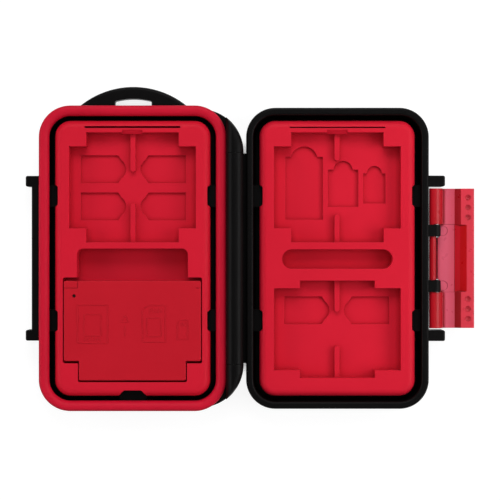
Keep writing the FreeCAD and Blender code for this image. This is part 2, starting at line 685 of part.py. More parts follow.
def latch():
    clip_in = CLIP_CENTRE - CLIP_WIDTH / 2 - LATCH_GAP
    clip_out = CLIP_CENTRE + CLIP_WIDTH / 2 + LATCH_GAP
    back = -2 * LATCH_ROOT_RADIUS
    below = PLATE_BACK - THROUGH
    face = PLATE_FACE - PLATE_STEP
    cuts = [latch_scoop()] + latch_dimples()
    cuts += latch_cut(back, LATCH_HOOK_START, 0, clip_out, face)
    cuts += latch_cut(back, ROD_RADIUS + ROD_SLIT, 0, clip_in, PLATE_BACK + ROD_WEB)
    cuts += latch_cut(back, ROD_WEB_START, 0, clip_in, below)
    cuts += latch_cut(back, CLIP_PASS, clip_in, clip_out, below)
    mark_z = PIVOT_Z + face - MARK_DEPTH
    for side in SIDES:
        cuts.append(post(MARK_RADIUS, mark_z, PIVOT_Z, PIVOT_X + LATCH_ROOT_REACH, side * CLIP_CENTRE))
    rod = rod_along_y(ROD_RADIUS, -clip_out - THROUGH, clip_out + THROUGH, PIVOT_X, PIVOT_Z)
    solid = joined([latch_blank().cut(cuts), rod])
    solid.translate(Vector(LID_X, 0, 0))
    return solid


def cross_block(centre_y, half_x, half_y, grow, z0):
    """Plan of a full-size pocket: a pair of middle cards side by side under one large card."""
    top = TRAY_TOP + THROUGH
    pair_x = PAIR_HALF_X + grow
    pair_y = PAIR_HALF_Y + grow
    pair = block(-pair_x, pair_x, centre_y - pair_y, centre_y + pair_y, z0, top)
    large = block(-half_x - grow, half_x + grow, centre_y - half_y - grow, centre_y + half_y + grow, z0, top)
    return pair.fuse(large)


def pocket_ribs(centre_y, half_y, length):
    """Two low ribs that part the middle cards and carry the large one."""
    ribs = []
    half = RIB_WIDTH / 2
    z0 = POCKET_FLOOR - POCKET_BASE
    z1 = POCKET_FLOOR + RIB_HEIGHT
    for side in SIDES:
        end = centre_y + side * (half_y - length)
        wall = centre_y + side * (half_y + POCKET_WALL / 2)
        ribs.extend([block(-half, half, wall, end, z0, z1), post(half, z0, z1, 0, end)])
    return ribs


def detent_beam(centre_y, half_y, slit_width):
    """The cuts and the bump that make a springy beam at the pocket's handle end."""
    edge = centre_y + half_y
    half_slit = CF_HALF_X + SLIT_OVERRUN
    slit_y = edge + BEAM_WIDTH
    slit = block(-half_slit, half_slit, slit_y, slit_y + slit_width, POCKET_FLOOR, TRAY_TOP + THROUGH)
    low = TRAY_TOP - DETENT_SLOPE
    above = TRAY_TOP + THROUGH
    slope = prism_along_x(
        [(edge - THROUGH, above), (edge + DETENT_SLOPE + THROUGH, above), (edge - THROUGH, low - THROUGH)],
        -DETENT_HALF, DETENT_HALF)
    lowest = low - 2 * DETENT_BUMP
    bump = prism_along_x(
        [(edge + DETENT_BUMP, low), (edge, low), (edge - DETENT_BUMP, low - DETENT_BUMP), (edge, lowest),
         (edge + DETENT_BUMP, lowest)],
        -DETENT_HALF, DETENT_HALF)
    return [slit, slope], bump


def micro_recess(side, centre_y):
    """Recess for a small card, with a rounded finger notch towards the middle of the pocket."""
    z0 = POCKET_FLOOR - RECESS_DEPTH
    far = side * MICRO_FAR
    shoulder = side * MICRO_SHOULDER
    neck = side * (MICRO_SHOULDER - MICRO_NECK)
    tip = side * MICRO_TIP
    upper = Vector(neck, centre_y + MICRO_NECK_HALF, z0)
    lower = Vector(neck, centre_y - MICRO_NECK_HALF, z0)
    corners = [
        lower, Vector(shoulder, centre_y - MICRO_HALF, z0), Vector(far, centre_y - MICRO_HALF, z0),
        Vector(far, centre_y + MICRO_HALF, z0), Vector(shoulder, centre_y + MICRO_HALF, z0), upper]
    arc = Part.Arc(upper, Vector(tip, centre_y, z0), lower).toShape()
    wire = Part.Wire(Part.makePolygon(corners).Edges + [arc])
    return Part.Face(wire).extrude(Vector(0, 0, RECESS_DEPTH + THROUGH))


def sim_recess(size, place, arch):
    """Recess for a phone card, with an arched finger notch at its top."""
    z0 = POCKET_FLOOR - RECESS_DEPTH
    z1 = POCKET_FLOOR + THROUGH
    x = place[0]
    y = POCKET_CENTRE + place[1]
    half_x = size[0] / 2 + SMALL_CARD_GAP
    half_y = size[1] / 2 + SMALL_CARD_GAP
    top = y + half_y
    radius = (arch[0] ** 2 + arch[1] ** 2) / (2 * arch[1])
    card = block(x - half_x, x + half_x, y - half_y, top, z0, z1)
    notch = post(radius, z0, z1, x, top + arch[1] - radius)
    return card.fuse(notch.common(block(x - half_x, x + half_x, y, top + arch[1], z0, z1)))


def finger_slot(grow, z0, z1):
    """The lid's long slot with round ends, grown for its housing."""
    radius = LID_SLOT_WIDTH / 2 + grow
    centre_x = LID_SLOT_HALF - LID_SLOT_WIDTH / 2
    centre_y = (LID_SLOT_TOP + LID_SLOT_END) / 2
    middle = block(-centre_x, centre_x, LID_SLOT_END - grow, LID_SLOT_TOP + grow, z0, z1)
    ends = [post(radius, z0, z1, side * centre_x, centre_y) for side in SIDES]
    return joined([middle] + ends)


def tray_shell():
    """The tray's top plate and skirt, before its pockets."""
    solid = centred_block(TRAY_HALF_X, TRAY_HALF_Y, TRAY_CORNER, SHELL_FLOOR, TRAY_TOP)
    solid = solid.makeFillet(TRAY_ROUND, edges_at_height(solid, TRAY_TOP))
    hollow = centred_block(
        TRAY_HALF_X - TRAY_SKIRT, TRAY_HALF_Y - TRAY_SKIRT, TRAY_CORNER - TRAY_SKIRT, SHELL_FLOOR - THROUGH,
        TRAY_TOP - TRAY_PLATE)
    return solid, solid.cut(hollow)


def tray(housings, cuts, additions):
    """A tray from pocket housings, trimmed to its outside, the cuts and what stands in the pockets."""
    outside, shell = tray_shell()
    inside = [housing.common(outside) for housing in housings]
    return joined([joined([shell] + inside).cut(cuts)] + additions)


def reader_plan(grow_side, grow_end, grow_shoulder, grow_nose, z0, z1, radius):
    """The reader's outline, a wide body with a narrower nose, grown for its pocket or shrunk inside."""
    body = rounded_block(
        -READER_HALF - grow_side, READER_HALF + grow_side, READER_SHOULDER - grow_shoulder,
        READER_TOP_EDGE + grow_end, z0, z1, radius)
    nose = rounded_block(
        -NOSE_HALF - grow_side, NOSE_HALF + grow_side, READER_END - grow_nose,
        READER_TOP_EDGE - READER_BODY / 2, z0, z1, radius)
    return body.fuse(nose).removeSplitter()


def reader_pocket(grow, z0):
    """The reader's place in the base tray with the finger recess beside it."""
    top = TRAY_TOP + THROUGH
    place = reader_plan(
        READER_SIDE_GAP + grow, READER_END_GAP + grow, READER_SHOULDER_GAP + grow, READER_NOSE_GAP + grow,
        z0, top, READER_CORNER)
    recess = rounded_block(
        -FINGER_HALF - grow, FINGER_HALF + grow, READER_TOP_EDGE - READER_BODY / 2, FINGER_TOP + grow,
        z0, top, FINGER_CORNER)
    return place.fuse(recess).removeSplitter()


def base_tray():
    half_pitch = MICRO_PITCH / 2
    z0 = POCKET_FLOOR - RECESS_DEPTH - POCKET_BASE
    housings = [
        cross_block(POCKET_CENTRE, CF_HALF_X, CF_HALF_Y, POCKET_WALL, z0),
        reader_pocket(POCKET_WALL, READER_FLOOR - POCKET_BASE)]
    beam_cuts, bump = detent_beam(POCKET_CENTRE, CF_HALF_Y, SLIT_WIDTH)
    cuts = [cross_block(POCKET_CENTRE, CF_HALF_X, CF_HALF_Y, 0, POCKET_FLOOR), reader_pocket(0, READER_FLOOR)]
    cuts += beam_cuts + tab_notches() + [end_notch()]
    for side in SIDES:
        cuts.append(micro_recess(side, POCKET_CENTRE + half_pitch))
        cuts.append(micro_recess(side, POCKET_CENTRE - half_pitch))
    return tray(housings, cuts, pocket_ribs(POCKET_CENTRE, CF_HALF_Y, BASE_RIB) + [bump])


def lid_tray():
    z0 = POCKET_FLOOR - RECESS_DEPTH - POCKET_BASE
    slot_floor = TRAY_TOP - LID_SLOT_DEPTH
    housings = [
        cross_block(POCKET_CENTRE, CF_HALF_X, CF_HALF_Y, POCKET_WALL, z0),
        cross_block(LID_LOWER_CENTRE, SLIM_HALF_X, SLIM_HALF_Y, POCKET_WALL, z0),
        finger_slot(POCKET_WALL, slot_floor - POCKET_BASE, TRAY_TOP)]
    beam_cuts, bump = detent_beam(POCKET_CENTRE, CF_HALF_Y, LID_SLIT_WIDTH)
    cuts = [
        cross_block(POCKET_CENTRE, CF_HALF_X, CF_HALF_Y, 0, POCKET_FLOOR),
        cross_block(LID_LOWER_CENTRE, SLIM_HALF_X, SLIM_HALF_Y, 0, POCKET_FLOOR),
        finger_slot(0, slot_floor, TRAY_TOP + THROUGH)]
    cuts += beam_cuts + tab_notches()
    cuts += [sim_recess(*values) for values in zip(SIM_SIZES, SIM_PLACES, SIM_ARCHES)]
    cuts += [micro_recess(side, LID_LOWER_CENTRE + LID_MICRO_RISE) for side in SIDES]
    ribs = pocket_ribs(POCKET_CENTRE, CF_HALF_Y, LID_RIB)
    ribs += pocket_ribs(LID_LOWER_CENTRE, SLIM_HALF_Y, LID_LOWER_RIB)
    solid = tray(housings, cuts, ribs + [bump])
    solid.translate(Vector(LID_X, 0, 0))
    return solid


def reader_form(grow, z0, z1, radius):
    return reader_plan(grow, grow, grow, grow, z0, z1, radius)


def reader_inside(z0, z1):
    return reader_form(-COVER_WALL, z0, z1, READER_INNER_CORNER)


def reader_bottom_cover():
    solid = reader_form(0, READER_BOTTOM, BOARD_LOW, READER_CORNER)
    solid = solid.makeFillet(READER_EDGE_ROUND, edges_at_height(solid, READER_BOTTOM))
    solid = solid.cut(reader_inside(READER_BOTTOM + COVER_SKIN, BOARD_LOW + THROUGH))
    foot = READER_BOTTOM + COVER_SKIN / 2
    posts = [post(SCREW_BOSS_RADIUS, foot, BOARD_LOW, x, y) for x, y in SCREW_PLACES]
    cuts = [block(
        -CF_MOUTH_HALF, CF_MOUTH_HALF, READER_TOP_EDGE - COVER_WALL - BOARD_GAP, READER_TOP_EDGE + THROUGH,
        READER_BOTTOM + COVER_SKIN, BOARD_LOW + THROUGH)]
    for x, y in SCREW_PLACES:
        cuts.append(post(SCREW_RADIUS + SCREW_GAP, READER_BOTTOM - THROUGH, BOARD_LOW + THROUGH, x, y))
        cuts.append(post(
            SCREW_HEAD_RADIUS + SCREW_GAP, READER_BOTTOM - THROUGH, READER_BOTTOM + SCREW_HEAD_HEIGHT, x, y))
    return joined([solid] + posts).cut(cuts).Solids[0]


def seam_marks():
    """Fine grooves in the two corners of the reader's top face at its finger end."""
    z0 = READER_TOP - SEAM_MARK_DEPTH
    z1 = READER_TOP + THROUGH
    long_x, long_y = SEAM_MARK_SIZE
    line_y = READER_TOP_EDGE - long_y
    line_x = long_x - READER_HALF
    return [
        block(-READER_HALF, line_x, line_y, line_y + SEAM_MARK_WIDTH, z0, z1),
        block(line_x, line_x + SEAM_MARK_WIDTH, line_y, READER_TOP_EDGE, z0, z1),
        block(READER_HALF - SEAM_MARK_SHORT, READER_HALF, line_y, line_y + SEAM_MARK_WIDTH, z0, z1)]


def reader_top_cover():
    solid = reader_form(0, BOARD_LOW, READER_TOP, READER_CORNER)
    solid = solid.makeFillet(READER_EDGE_ROUND, edges_at_height(solid, READER_TOP))
    solid = solid.cut(reader_inside(BOARD_LOW - THROUGH, CEILING))
    root = CEILING + COVER_SKIN / 2
    bosses = [post(SCREW_BOSS_RADIUS, BOARD_TOP, root, x, y) for x, y in SCREW_PLACES]
    wall = COVER_WALL + BOARD_GAP
    half_sd = SD_WIDTH / 2 + CARD_SLOT_GAP
    half_micro = MICRO_WIDTH / 2 + CARD_SLOT_GAP
    half_usb = USB_WIDTH / 2 + USB_GAP
    cuts = seam_marks() + [
        post(LIGHT_PIPE_RADIUS + LIGHT_PIPE_GAP, CEILING - THROUGH, READER_TOP + THROUGH, LED_X, LED_Y),
        block(
            -READER_HALF - THROUGH, -READER_HALF + wall, SD_SOCKET_Y - half_sd, SD_SOCKET_Y + half_sd,
            BOARD_TOP, BOARD_TOP + SD_SOCKET_HEIGHT - SHELL_STEEL),
        block(
            READER_HALF - wall, READER_HALF + THROUGH, MICRO_SOCKET_Y - half_micro,
            MICRO_SOCKET_Y + half_micro, BOARD_TOP, BOARD_TOP + MICRO_SOCKET_HEIGHT - SHELL_STEEL),
        block(
            -half_usb, half_usb, READER_END - THROUGH, READER_END + wall, BOARD_TOP - USB_GAP,
            BOARD_TOP + USB_HEIGHT + USB_GAP)]
    for x, y in SCREW_PLACES:
        cuts.append(post(SCREW_RADIUS + PRESS_GAP, BOARD_LOW, BOARD_TOP + SCREW_BITE + SCREW_GAP, x, y))
    return joined([solid] + bosses).cut(cuts).Solids[0]


def reader_board():
    solid = reader_form(BOARD_GROW, BOARD_LOW, BOARD_TOP, READER_INNER_CORNER)
    radius = SCREW_RADIUS + SCREW_GAP
    holes = [post(radius, BOARD_LOW - THROUGH, BOARD_TOP + THROUGH, x, y) for x, y in SCREW_PLACES]
    return solid.cut(holes).Solids[0]


def reader_screws():
    """Cross-head screws from below, through the board, into the top cover's bosses."""
    screws = []
    half = SCREW_CROSS_WIDTH / 2
    arm = SCREW_RADIUS
    z0 = READER_BOTTOM - THROUGH
    z1 = READER_BOTTOM + SCREW_CROSS_DEPTH
    for x, y in SCREW_PLACES:
        head = post(SCREW_HEAD_RADIUS, READER_BOTTOM, READER_BOTTOM + SCREW_HEAD_HEIGHT, x, y)
        shank = post(SCREW_RADIUS, READER_BOTTOM, BOARD_TOP + SCREW_BITE, x, y)
        across = block(x - arm, x + arm, y - half, y + half, z0, z1)
        along = block(x - half, x + half, y - arm, y + arm, z0, z1)
        screws.append(joined([head, shank]).cut([across, along]))
    return Part.makeCompound(screws)


def cf_header_face():
    return INNER_LOW + BOARD_GAP + CF_RAIL


def cf_socket():
    """The large card's header, with a rail down each side of the card."""
    z0 = READER_BOTTOM + COVER_SKIN
    face = cf_header_face()
    half_header = NOSE_HALF - COVER_WALL - BOARD_GAP
    half_rails = CF_MOUTH_HALF + CF_RAIL
    rail_end = READER_TOP_EDGE - COVER_WALL - BOARD_GAP
    header = block(-half_header, half_header, face - CF_HEADER, face, z0, BOARD_LOW)
    flange = block(-half_rails, half_rails, face - CF_RAIL, face, z0, BOARD_LOW)
    rails = [
        block(side * CF_MOUTH_HALF, side * half_rails, face - CF_RAIL, rail_end, z0, BOARD_LOW)
        for side in SIDES]
    return joined([header, flange] + rails)


def cf_pins():
    face = cf_header_face()
    middle = READER_BOTTOM + COVER_SKIN + CF_SLOT_HEIGHT / 2
    first = -(CF_PINS_PER_ROW - 1) * CF_PIN_PITCH / 2
    pins = []
    for row in SIDES:
        z = middle + row * CF_PIN_PITCH / 2 - CF_PIN / 2
        for index in range(CF_PINS_PER_ROW):
            x = first + index * CF_PIN_PITCH - CF_PIN / 2
            pins.append(block(x, x + CF_PIN, face, face + CF_PIN_LENGTH, z, z + CF_PIN))
    return Part.makeCompound(pins)


def card_socket(x0, x1, centre_y, half_y, height, open_side):
    """A folded steel cover on the board, open towards one side."""
    outer = block(x0, x1, centre_y - half_y, centre_y + half_y, BOARD_TOP, BOARD_TOP + height)
    low = x0 - THROUGH if open_side < 0 else x0 + SHELL_STEEL
    high = x1 + THROUGH if open_side > 0 else x1 - SHELL_STEEL
    inner = block(
        low, high, centre_y - half_y + SHELL_STEEL, centre_y + half_y - SHELL_STEEL, BOARD_TOP - THROUGH,
        BOARD_TOP + height - SHELL_STEEL)
    return outer.cut(inner)


def sd_socket():
    return card_socket(SD_SOCKET_X, SD_SOCKET_END, SD_SOCKET_Y, SD_SOCKET_HALF, SD_SOCKET_HEIGHT, -1)


def microsd_socket():
    x1 = -INNER_LEFT - BOARD_GAP
    x0 = x1 - MICRO_SOCKET_LENGTH
    return card_socket(x0, x1, MICRO_SOCKET_Y, MICRO_SOCKET_HALF, MICRO_SOCKET_HEIGHT, 1)


def contact_row(x0, centre_y, half_row, count):
    """Flat spring contacts side by side on the board."""
    length, width, height = CONTACT_SIZE
    pitch = 2 * half_row / (count - 1)
    row = []
    for index in range(count):
        y = centre_y - half_row + index * pitch
        row.append(block(x0, x0 + length, y - width / 2, y + width / 2, BOARD_TOP, BOARD_TOP + height))
    return Part.makeCompound(row)


def sd_contacts():
    x0 = SD_SOCKET_END - 2 * CONTACT_SIZE[0]
    return contact_row(x0, SD_SOCKET_Y, SD_WIDTH / 2 - SD_CONTACT_EDGE, SD_CONTACT_COUNT)


def microsd_contacts():
    x0 = -INNER_LEFT - BOARD_GAP - MICRO_SOCKET_LENGTH + CONTACT_SIZE[0]
    return contact_row(x0, MICRO_SOCKET_Y, MICRO_WIDTH / 2 - MICRO_CONTACT_EDGE, MICRO_CONTACT_COUNT)


def usb_shell(inset, y0, y1):
    half = USB_WIDTH / 2 - inset
    solid = block(-half, half, y0, y1, BOARD_TOP + inset, BOARD_TOP + USB_HEIGHT - inset)
    along = [edge for edge in solid.Edges if edge.BoundBox.YLength > USB_DEPTH / 2]
    return solid.makeFillet(USB_ROUND - inset, along)


def usb_socket():
    outer = usb_shell(0, READER_END, READER_END + USB_DEPTH)
    return outer.cut(usb_shell(USB_STEEL, READER_END - THROUGH, READER_END + USB_DEPTH - USB_STEEL))


def usb_insert():
    """The tongue inside the cable socket, on a block at its back."""
    width, length, height = USB_TONGUE
    back = READER_END + USB_DEPTH - USB_STEEL
    middle = BOARD_TOP + USB_HEIGHT / 2
    tongue = block(-width / 2, width / 2, back - length, back, middle - height / 2, middle + height / 2)
    foot_half = width / 2 - USB_STEEL
    foot_top = BOARD_TOP + USB_HEIGHT - USB_STEEL
    foot = block(-foot_half, foot_half, back - USB_FOOT, back, BOARD_TOP + USB_STEEL, foot_top)
    return joined([tongue, foot])


def on_board(size, x, y):
    half_x = size[0] / 2
    half_y = size[1] / 2
    return block(x - half_x, x + half_x, y - half_y, y + half_y, BOARD_TOP, BOARD_TOP + size[2])


def controller_chip():
    return on_board(CHIP_SIZE, SD_SOCKET_END + CHIP_PLACE[0], READER_SHOULDER + CHIP_PLACE[1])


def crystal():
    solid = on_board(CRYSTAL_SIZE, SD_SOCKET_END + CRYSTAL_PLACE[0], READER_SHOULDER + CRYSTAL_PLACE[1])
    return solid.makeFillet(CRYSTAL_ROUND, upright_edges(solid))


def capacitors():
    x = SD_SOCKET_END + CAPACITOR_PLACE[0]
    first = READER_TOP_EDGE - CAPACITOR_PLACE[1]
    return Part.makeCompound([
        on_board(CAPACITOR_SIZE, x, first - index * CAPACITOR_PITCH) for index in range(CAPACITOR_COUNT)])


def indicator_led():
    return on_board(LED_SIZE, LED_X, LED_Y)


def light_pipe():
    """A clear rod from the indicator light up into the hole in the top cover."""
    return post(LIGHT_PIPE_RADIUS, BOARD_TOP + LED_SIZE[2], READER_TOP - LIGHT_PIPE_SUNK, LED_X, LED_Y)


PIECES = {
    "base_shell": base_shell, "base_seal": base_seal, "base_tray": base_tray, "hinge_pin": hinge_pin,
    "lid_shell": lid_shell, "lid_tray": lid_tray, "latch": latch,
    "reader_top_cover": reader_top_cover, "reader_bottom_cover": reader_bottom_cover,
    "reader_circuit_board": reader_board, "reader_screws": reader_screws,
    "reader_large_card_socket": cf_socket, "reader_large_card_pins": cf_pins,
    "reader_middle_card_socket": sd_socket, "reader_middle_card_contacts": sd_contacts,
    "reader_small_card_socket": microsd_socket, "reader_small_card_contacts": microsd_contacts,
    "reader_cable_socket": usb_socket, "reader_cable_socket_insert": usb_insert,
    "reader_controller_chip": controller_chip, "reader_crystal": crystal, "reader_capacitors": capacitors,
    "reader_indicator_led": indicator_led, "reader_light_pipe": light_pipe}

os.makedirs("parts", exist_ok=True)
for name, make in PIECES.items():
    shape = make()
    shape.exportStep("parts/" + name + ".step")
    print(name, len(shape.Solids), shape.isValid(), round(shape.Volume, 2))
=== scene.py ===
"""Looks for the memory card case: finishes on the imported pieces, card signs on the reader, camera and light.

Named lengths are in millimetres, except where a comment says metres.
"""

import json
import math

import bpy
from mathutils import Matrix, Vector


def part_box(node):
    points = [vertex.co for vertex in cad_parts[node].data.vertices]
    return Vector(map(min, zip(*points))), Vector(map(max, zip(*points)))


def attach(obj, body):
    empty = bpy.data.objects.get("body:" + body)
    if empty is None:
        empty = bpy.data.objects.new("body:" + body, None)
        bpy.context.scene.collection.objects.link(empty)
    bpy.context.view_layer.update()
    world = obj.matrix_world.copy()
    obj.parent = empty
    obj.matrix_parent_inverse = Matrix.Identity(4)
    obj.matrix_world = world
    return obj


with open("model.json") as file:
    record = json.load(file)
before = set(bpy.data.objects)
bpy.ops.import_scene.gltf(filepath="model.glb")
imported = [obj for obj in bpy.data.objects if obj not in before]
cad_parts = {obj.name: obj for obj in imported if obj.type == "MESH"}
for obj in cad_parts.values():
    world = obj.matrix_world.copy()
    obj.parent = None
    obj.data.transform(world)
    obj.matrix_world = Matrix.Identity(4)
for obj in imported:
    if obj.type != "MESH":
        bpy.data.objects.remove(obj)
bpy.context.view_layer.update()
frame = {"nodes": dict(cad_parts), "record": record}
nodes = frame["nodes"]
MM = 0.001


# Node helpers for the finishes

BEVEL_SAMPLES = 6
SHADE_SAMPLES = 16

# Sockets of the mix node when it mixes colours: three inputs and the output
MIX_SHARE = 0
MIX_FIRST = 6
MIX_SECOND = 7
MIX_COLOUR = 2

# How well the rounded normal agrees with the true one on flat faces and at edges
FLAT_AGREEMENT = 0.995
EDGE_AGREEMENT = 0.85


def colour(red, green, blue):
    return (red, green, blue, 1.0)


PURE_WHITE = colour(1, 1, 1)
PURE_BLACK = colour(0, 0, 0)


def add_node(tree, kind, inputs=None, **settings):
    """A shader node with its settings, and its inputs as plain values or as links from other sockets."""
    node = tree.nodes.new(kind)
    for name, value in settings.items():
        setattr(node, name, value)
    for name, value in (inputs or {}).items():
        if isinstance(value, bpy.types.NodeSocket):
            tree.links.new(value, node.inputs[name])
        else:
            node.inputs[name].default_value = value
    return node


def empty_tree(holder):
    """The node tree of a material or a world, with nothing in it."""
    holder.use_nodes = True
    holder.node_tree.nodes.clear()
    return holder.node_tree


def new_finish(name):
    """A new material, its empty tree, and the place on the object that its patterns read."""
    material = bpy.data.materials.new(name)
    tree = empty_tree(material)
    return material, tree, add_node(tree, "ShaderNodeTexCoord").outputs["Object"]


def noise(tree, place, scale, detail=2.0, distortion=0.0):
    return add_node(tree, "ShaderNodeTexNoise", {
        "Vector": place, "Scale": scale, "Detail": detail, "Distortion": distortion}).outputs["Fac"]


def stretched(tree, place, scale, turn=0.0):
    """The place, turned about Z and scaled apart along its axes."""
    return add_node(tree, "ShaderNodeMapping", {
        "Vector": place, "Rotation": (0, 0, turn), "Scale": scale}).outputs["Vector"]


def ranged(tree, value, low, high, out_low, out_high):
    """The value, moved from one range to another and held inside it."""
    return add_node(tree, "ShaderNodeMapRange", {
        "Value": value, "From Min": low, "From Max": high,
        "To Min": out_low, "To Max": out_high}).outputs["Result"]


def maths(tree, operation, first, second):
    return add_node(tree, "ShaderNodeMath", {0: first, 1: second}, operation=operation).outputs["Value"]


def vector_maths(tree, operation, first, second, output):
    node = add_node(tree, "ShaderNodeVectorMath", {0: first, 1: second}, operation=operation)
    return node.outputs[output]


def mixed(tree, share, first, second):
    """The first colour, with a share of the second."""
    return add_node(tree, "ShaderNodeMix", {
        MIX_SHARE: share, MIX_FIRST: first, MIX_SECOND: second}, data_type="RGBA").outputs[MIX_COLOUR]


def rounded_normal(tree, radius):
    """The surface normal, with sharp edges rounded."""
    return add_node(
        tree, "ShaderNodeBevel", {"Radius": radius * MM}, samples=BEVEL_SAMPLES).outputs["Normal"]


def edge_share(tree, rounded):
    """One at sharp edges and nought on flat faces, from how far the rounded normal leaves the true one."""
    flat = add_node(tree, "ShaderNodeNewGeometry").outputs["Normal"]
    agree = vector_maths(tree, "DOT_PRODUCT", rounded, flat, "Value")
    return ranged(tree, agree, FLAT_AGREEMENT, EDGE_AGREEMENT, 0.0, 1.0)


def openness(tree, reach):
    """How open the surface lies: one on open faces, lower in corners and at the foot of walls."""
    return add_node(
        tree, "ShaderNodeAmbientOcclusion", {"Distance": reach * MM},
        samples=SHADE_SAMPLES, only_local=True).outputs["AO"]


def bumped(tree, height, strength, relief, normal=None):
    """The normal of a surface with fine relief, over the true normal or a given one."""
    bump = add_node(tree, "ShaderNodeBump", {
        "Strength": strength, "Distance": relief * MM, "Height": height})
    if normal is not None:
        tree.links.new(normal, bump.inputs["Normal"])
    return bump.outputs["Normal"]


def surface(tree, inputs, volume=None):
    """Ends a finish with its surface shader and, for clear plastic, what fills it."""
    shader = add_node(tree, "ShaderNodeBsdfPrincipled", inputs)
    ends = {"Surface": shader.outputs["BSDF"]}
    if volume is not None:
        ends["Volume"] = volume
    add_node(tree, "ShaderNodeOutputMaterial", ends)


# Moulded plastic and rubber

# Painted shade: moulded plastic darkens in creases and at the foot of walls, out to this reach
PAINTED_SHADE_REACH = 2.8

# Shares of the base colour that are left in deep creases, as painted shade
PAINTED_SHADE_RED = 0.4
PAINTED_SHADE_GREEN_BLUE = 0.1

PIN_MARK_RADIUS = 2.0
PIN_MARK_EDGE = 0.12


def pin_marks(tree, place, marks):
    """One inside the round marks that the mould's ejector pins leave, nought outside."""
    flat = vector_maths(tree, "MULTIPLY", place, (1, 1, 0), "Vector")
    nearest = None
    for x, y in marks:
        away = vector_maths(tree, "DISTANCE", flat, (x * MM, y * MM, 0), "Value")
        nearest = away if nearest is None else maths(tree, "MINIMUM", nearest, away)
    return ranged(tree, nearest, PIN_MARK_RADIUS * MM, (PIN_MARK_RADIUS - PIN_MARK_EDGE) * MM, 0.0, 1.0)


def moulded_plastic(
        name, base, patch, edge, rough, shine, grain, relief,
        edge_radius=0.2, wear=0.2, painted_crease_shade=0.0, marks=()):
    """Moulded plastic: fine eroded grain, slow colour drift, handling scuffs, paler rubbed edges and painted
    shade, a deeper colour in creases."""
    material, tree, place = new_finish(name)
    rounded = rounded_normal(tree, edge_radius)
    drift = ranged(tree, noise(tree, place, scale=45, detail=3), 0.3, 0.7, 0.0, 1.0)
    body = mixed(tree, drift, base, patch)
    patchy = ranged(tree, noise(tree, place, scale=260, detail=4), 0.35, 0.75, 0.15, 1.0)
    rub = maths(tree, "MULTIPLY", edge_share(tree, rounded), patchy)
    # Painted shade: where the surface lies enclosed, its colour is mixed towards a deep red; rubbed edges are
    # kept off these places
    if painted_crease_shade:
        open_share = openness(tree, PAINTED_SHADE_REACH)
        rub = maths(tree, "MULTIPLY", rub, ranged(tree, open_share, 0.8, 0.97, 0.0, 1.0))
        painted_shade_colour = colour(PAINTED_SHADE_RED * base[0], PAINTED_SHADE_GREEN_BLUE * base[1], PAINTED_SHADE_GREEN_BLUE * base[2])
        body = mixed(tree, ranged(tree, open_share, 0.95, 0.5, 0.0, painted_crease_shade), body, painted_shade_colour)
    body = mixed(tree, maths(tree, "MULTIPLY", rub, wear), body, edge)
    scuff = noise(tree, stretched(tree, place, scale=(2600, 120, 120), turn=0.6), scale=1, detail=2)
    scuff = ranged(tree, scuff, 0.62, 0.8, 0.0, 0.08)
    gloss = ranged(tree, noise(tree, place, scale=380, detail=3), 0.25, 0.75, rough - 0.04, rough + 0.04)
    gloss = maths(tree, "SUBTRACT", gloss, scuff)
    height = noise(tree, place, scale=grain, detail=3)
    if marks:
        height = maths(tree, "SUBTRACT", height, pin_marks(tree, place, marks))
    surface(tree, {
        "Base Color": body, "Roughness": gloss, "IOR": 1.5, "Specular IOR Level": shine,
        "Normal": bumped(tree, height, strength=0.6, relief=relief, normal=rounded)})
    return material


# See-through plastic: the latch, and the reader's indicator light and light pipe

# Painted shade in the creases of see-through plastic: its reach and its colour
CLEAR_PAINTED_SHADE_REACH = 1.8
CLEAR_PAINTED_SHADE = colour(0.22, 0.0005, 0.003)
CLEAR_EDGE_RADIUS = 0.2
CLEAR_RELIEF = 0.0015

# Zones of the latch's painted light and shade: its middle fades out between two half widths along Y, the
# others lie along X
LATCH_MIDDLE_IN = 13.6
LATCH_MIDDLE_OUT = 14.0
PLATE_START = 127.7
PLATE_START_SHIFT = 2.2
PLATE_FADE = 1.6
PLATE_PALE_END = 129.6
PLATE_END = 132.85
HOLLOW_START = 135.0
PULL_EDGE_START = 135.2
PULL_EDGE_SHIFT = 2.4
PULL_EDGE_SOFT = 0.2
ZONE_SOFT = 0.1

# Painted light and shade of the latch: deep red for shade on the crown, the slopes and the hollow, pale red
# for light through the thin plate
CROWN_PAINTED_SHADE = colour(0.4, 0.002, 0.008)
PLATE_PAINTED_LIGHT = colour(0.63, 0.096, 0.155)
SLOPE_PAINTED_SHADE = colour(0.27, 0.0005, 0.004)
HOLLOW_PAINTED_SHADE = colour(0.42, 0.0004, 0.0015)
PULL_EDGE_RED = colour(0.61, 0.032, 0.054)
SMOKE_DARK = colour(0.015, 0.003, 0.004)
SMOKE_LIGHT = colour(0.025, 0.005, 0.006)


